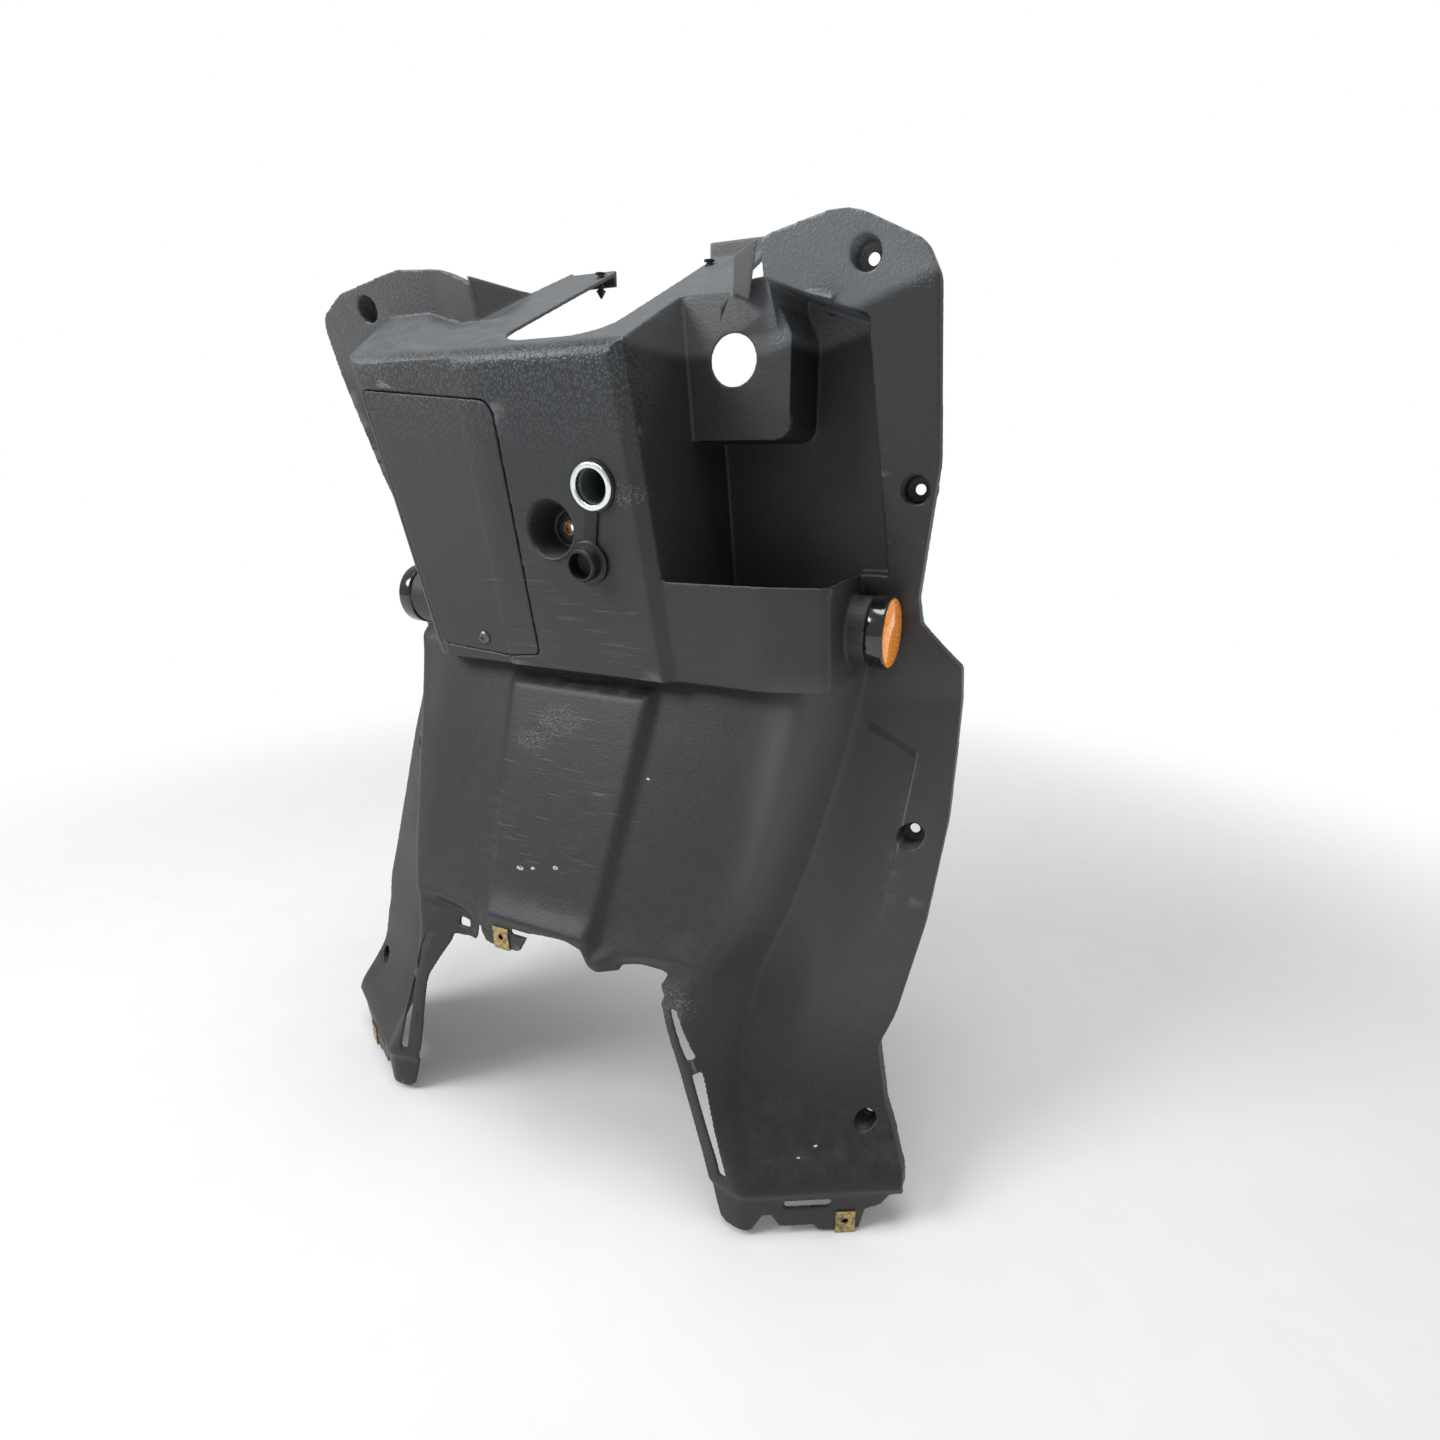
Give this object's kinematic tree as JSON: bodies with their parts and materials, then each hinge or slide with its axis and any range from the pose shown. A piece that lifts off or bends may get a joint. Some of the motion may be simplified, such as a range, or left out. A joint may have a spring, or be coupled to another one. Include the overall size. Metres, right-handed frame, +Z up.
{
  "type": "scooter inner leg shield panel",
  "caption": "Black moulded inner leg shield of a scooter: console with battery cover and accessory socket, open glove pocket, side reflectors, kick pad and foot-well legs.",
  "frame": {"origin": "rear face of the brass bush of the central frame bolt, on the bolt's axis", "axes": "+X to the rider's right, +Y forward along the scooter, +Z up; the panel keeps the stance it has on the scooter"},
  "size_m": [0.4936, 0.1944, 0.6297],
  "materials": {
    "panel_plastic": "fine leather grain, satin, scuffed and dusty",
    "inner_plastic": "plain black moulding",
    "soft_rubber": "matt black rubber",
    "bezel_plastic": "gloss black",
    "amber_lens": "clear amber with a prism back",
    "plated_ring": "dulled nickel plate",
    "dark_steel": "dark zinc",
    "zinc_steel": "bright zinc",
    "spring_steel": "gold passivated, dusty",
    "brass_metal": "dull brass"
  },
  "bodies": {
    "root": {"leg_shield": "panel_plastic", "battery_cover": "panel_plastic", "cover_screw": "dark_steel", "cover_nut": "spring_steel", "socket_barrel": "plated_ring", "socket_lock_nut": "inner_plastic", "socket_insulator": "inner_plastic", "socket_contact": "brass_metal", "socket_cap": "soft_rubber", "hook_grommet": "soft_rubber", "hook_bush": "brass_metal", "tunnel_clip_nut": "spring_steel", "reflector_housing_right": "bezel_plastic", "reflector_lens_right": "amber_lens", "reflector_stud_right": "zinc_steel", "reflector_nut_right": "zinc_steel", "floor_clip_nut_right": "spring_steel", "trim_pin_right": "inner_plastic", "reflector_housing_left": "bezel_plastic", "reflector_lens_left": "amber_lens", "reflector_stud_left": "zinc_steel", "reflector_nut_left": "zinc_steel", "floor_clip_nut_left": "spring_steel", "trim_pin_left": "inner_plastic"}
  },
  "joints": []
}
